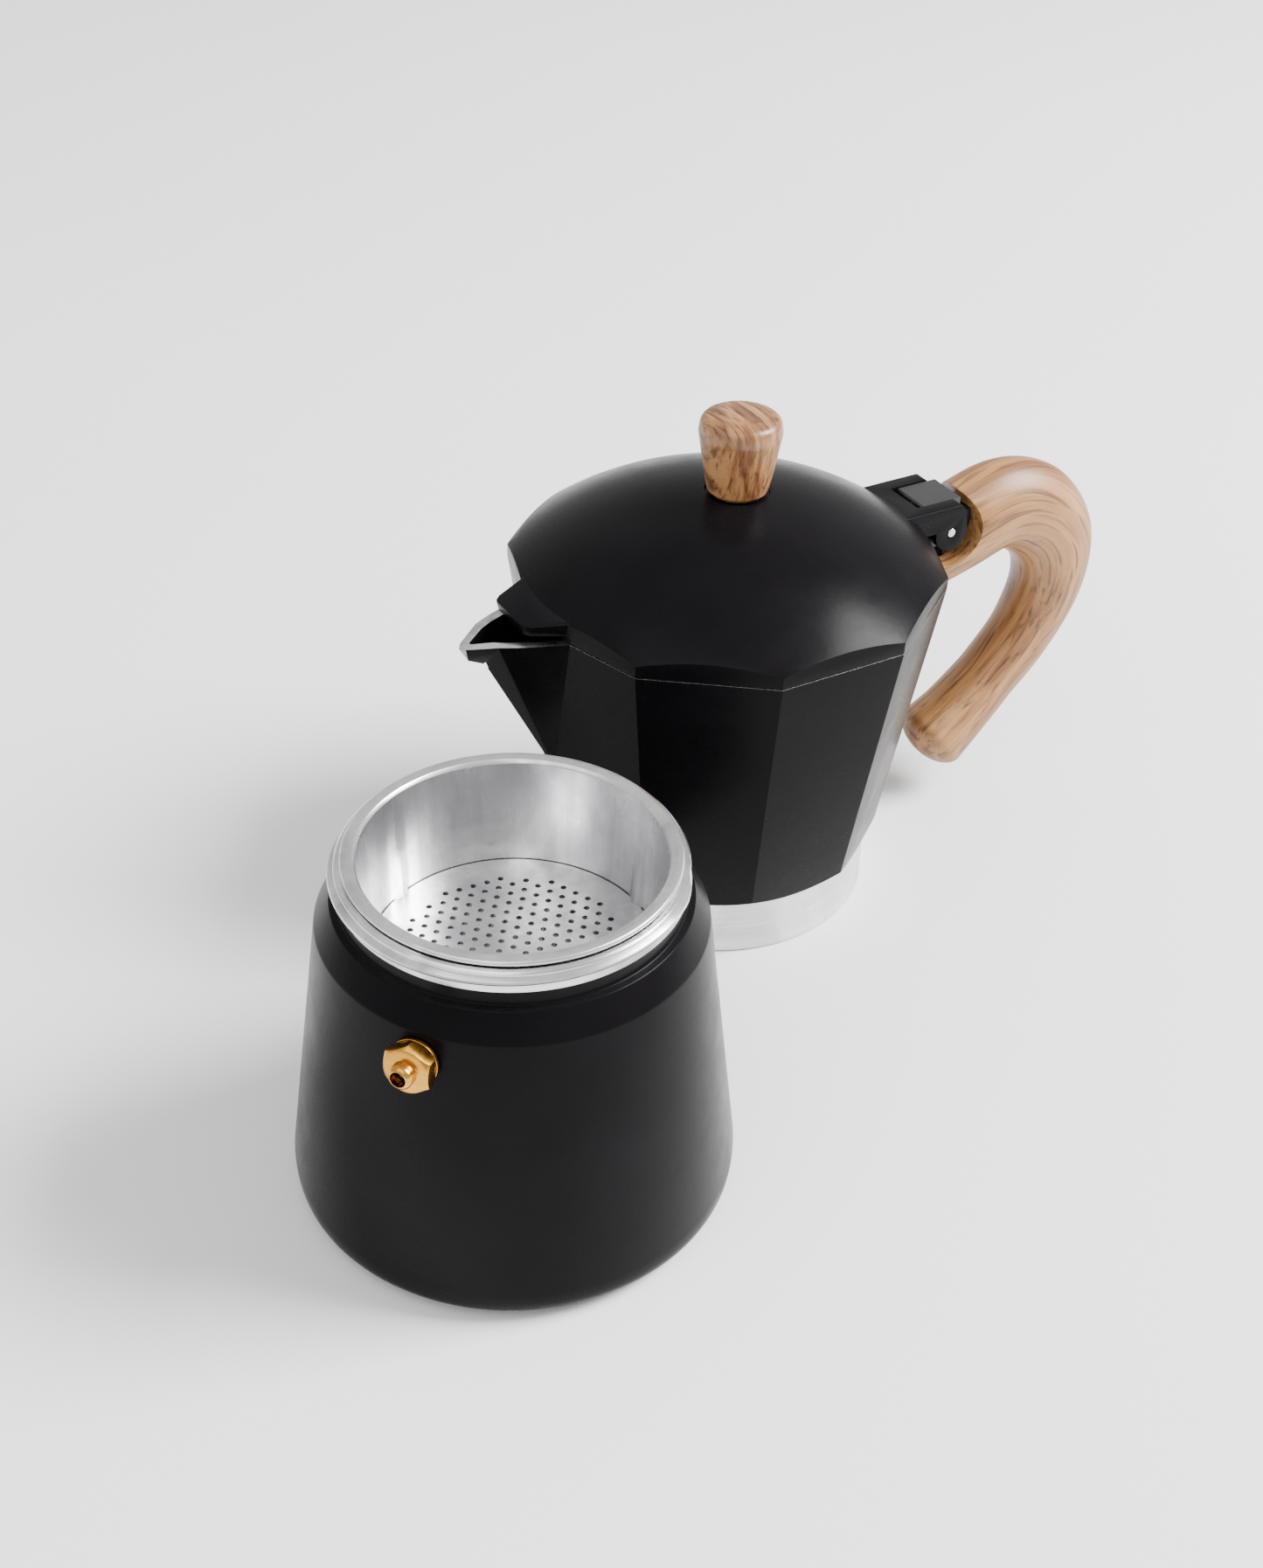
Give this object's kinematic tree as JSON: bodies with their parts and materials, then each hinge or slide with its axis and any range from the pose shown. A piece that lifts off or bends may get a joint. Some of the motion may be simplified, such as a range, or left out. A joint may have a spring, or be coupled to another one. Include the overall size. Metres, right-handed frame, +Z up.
{
  "type": "moka pot",
  "caption": "Stovetop coffee pot taken apart: round tapered boiler with lift-out funnel and safety valve beside a faceted collector with spout, hinged domed lid and wood handle",
  "frame": {"origin": "centre of the boiler's flat underside", "axes": "+Z up; -X the way the collector's spout points and +X the way its handle points; +Y across, towards the collector's side of the boiler"},
  "size_m": [0.2685, 0.1786, 0.1328],
  "materials": {
    "black_paint": "satin black paint on cast aluminium",
    "bare_aluminium": "turned and pressed bare aluminium",
    "valve_brass": "polished brass",
    "wood": "honey wood with brown flowing grain under satin lacquer",
    "black_plastic": "moulded black heat-proof plastic",
    "steel": "plain bright steel",
    "silicone": "off-white silicone"
  },
  "bodies": {
    "boiler": {"boiler_shell": "black_paint", "valve_body": "valve_brass", "valve_washer": "valve_brass", "valve_seat": "valve_brass"},
    "valve_plunger": {"valve_pin": "steel", "valve_spring": "steel"},
    "funnel": {"funnel_bowl": "bare_aluminium", "funnel_tube": "bare_aluminium", "funnel_plate": "bare_aluminium"},
    "collector": {"collector_body": "black_paint", "coffee_column": "bare_aluminium", "column_cap": "bare_aluminium", "gasket": "silicone", "filter_plate": "bare_aluminium", "hinge_block": "black_plastic", "hinge_pin": "steel", "handle": "wood", "handle_washer": "steel", "handle_screw": "steel"},
    "lid": {"lid": "black_paint", "lid_knob": "wood", "knob_washer": "steel", "knob_screw": "steel"}
  },
  "joints": [
    {"name": "funnel_lift", "type": "slide", "parent": "boiler", "child": "funnel", "axis": [0, 0, 1], "range_m": [0, 0.09]},
    {"name": "valve_stroke", "type": "slide", "parent": "boiler", "child": "valve_plunger", "axis": [-0.7974, -0.59, 0.1267], "range_m": [0, 0.0012], "stiffness_N_per_m": 2000, "springref_m": -0.0005},
    {"name": "collector_lift", "type": "slide", "parent": "boiler", "child": "collector", "axis": [0, 0, 1], "range_m": [0, 0.15]},
    {"name": "lid_hinge", "type": "hinge", "parent": "collector", "child": "lid", "pos_m": [0.1621, 0.0757, 0.0898], "axis": [0, 1, 0], "range_deg": [0, 85]}
  ]
}
